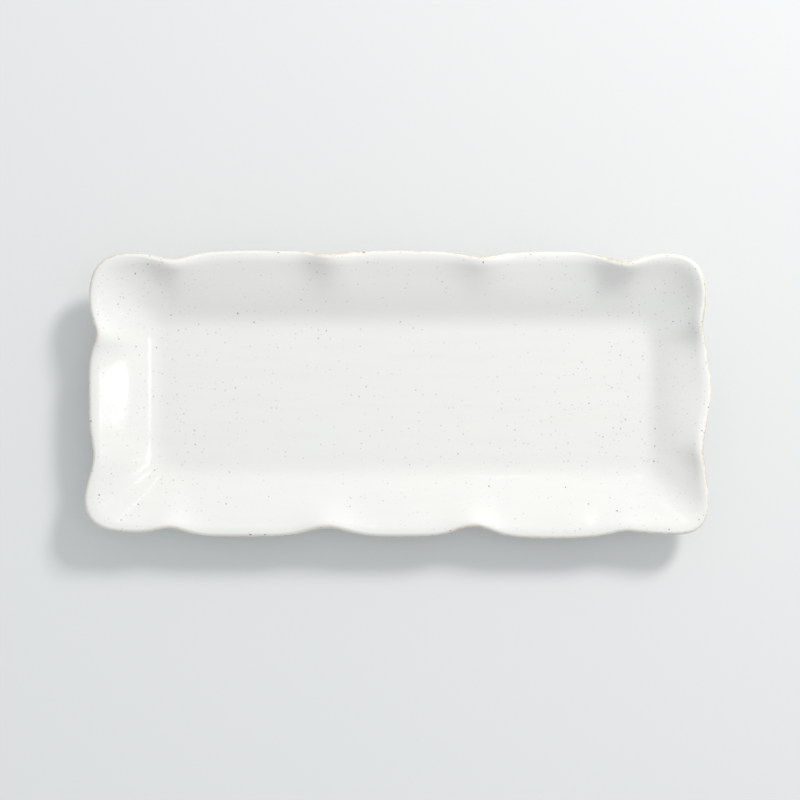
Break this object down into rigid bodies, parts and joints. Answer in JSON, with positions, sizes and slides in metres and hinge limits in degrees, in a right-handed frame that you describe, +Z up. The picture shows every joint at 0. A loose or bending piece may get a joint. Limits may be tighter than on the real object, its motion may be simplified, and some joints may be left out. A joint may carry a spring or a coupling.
{
  "type": "serving platter",
  "caption": "Long rectangular china serving platter with a flat floor, coved flaring walls, a hand-pinched ruffled lip and a low foot ring, in speckled white glaze",
  "frame": {"origin": "middle of the platter's outline, on the plane that the foot ring stands on", "axes": "+X along the platter, +Y across it to the back, +Z up"},
  "size_m": [0.3805, 0.175, 0.0334],
  "materials": {
    "fired_clay": "matt",
    "white_glaze": "gloss"
  },
  "bodies": {
    "root": {"clay_body": "fired_clay", "foot_ring": "fired_clay", "inside_glaze": "white_glaze", "outside_glaze": "white_glaze", "recess_glaze": "white_glaze"}
  },
  "joints": []
}
